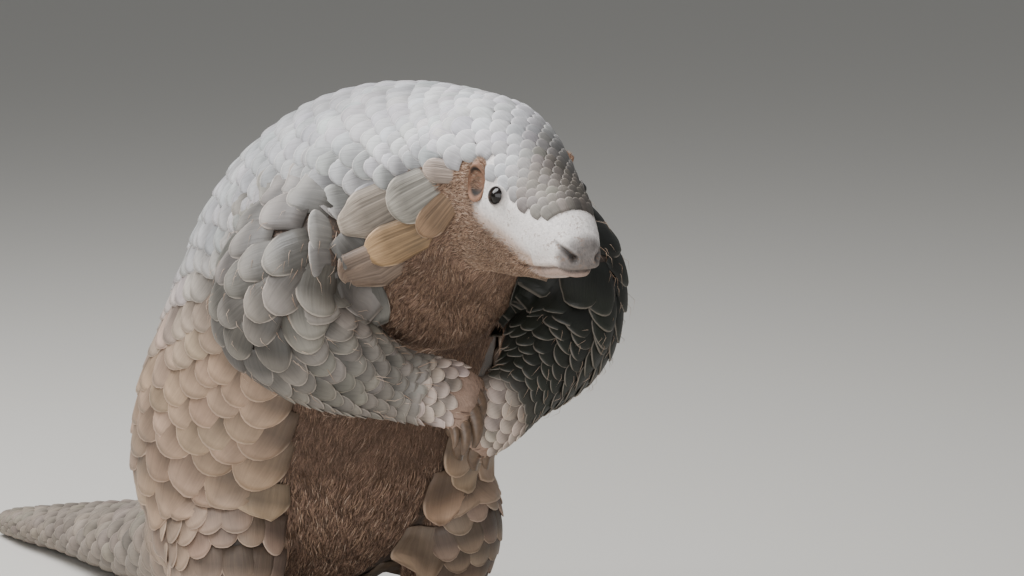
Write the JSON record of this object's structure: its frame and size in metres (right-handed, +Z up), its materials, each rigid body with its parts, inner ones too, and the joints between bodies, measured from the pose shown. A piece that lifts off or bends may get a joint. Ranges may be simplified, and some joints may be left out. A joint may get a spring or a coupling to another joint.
{
  "type": "pangolin",
  "caption": "Life-size still model of a pangolin standing upright on its hind legs, back humped, forefeet held together under the chest and tail laid on the floor behind",
  "frame": {"origin": "on the floor, under the middle of the whole animal's box", "axes": "+X is the way the animal faces and its longest extent, from the tail's tip to the nose; +Y is its left side; +Z is up"},
  "size_m": [0.6408, 0.238, 0.3412],
  "materials": {
    "scale": "horny overlapping scales, grey on the back and tan on the flanks, with pale edges, over brown short-haired skin on throat and belly",
    "skin": "soft pinkish grey skin with fine creases",
    "claw": "worn tan-brown horn",
    "eye": "wet black"
  },
  "bodies": {
    "root": {"ear_left": "skin", "ear_right": "skin", "eye_left": "eye", "eye_right": "eye", "forearm_left": "scale", "forearm_right": "scale", "foreclaw_left_1": "claw", "foreclaw_left_2": "claw", "foreclaw_left_3": "claw", "foreclaw_left_4": "claw", "foreclaw_left_5": "claw", "foreclaw_right_1": "claw", "foreclaw_right_2": "claw", "foreclaw_right_3": "claw", "foreclaw_right_4": "claw", "foreclaw_right_5": "claw", "forefoot_left": "skin", "forefoot_right": "skin", "head": "scale", "hindclaw_left_1": "claw", "hindclaw_left_2": "claw", "hindclaw_left_3": "claw", "hindclaw_left_4": "claw", "hindclaw_left_5": "claw", "hindclaw_right_1": "claw", "hindclaw_right_2": "claw", "hindclaw_right_3": "claw", "hindclaw_right_4": "claw", "hindclaw_right_5": "claw", "hindfoot_left": "skin", "hindfoot_right": "skin", "neck": "scale", "shin_left": "scale", "shin_right": "scale", "tail_base": "scale", "tail_middle": "scale", "tail_tip": "scale", "thigh_left": "scale", "thigh_right": "scale", "torso_front": "scale", "torso_rear": "scale", "upper_arm_left": "scale", "upper_arm_right": "scale"}
  },
  "joints": []
}
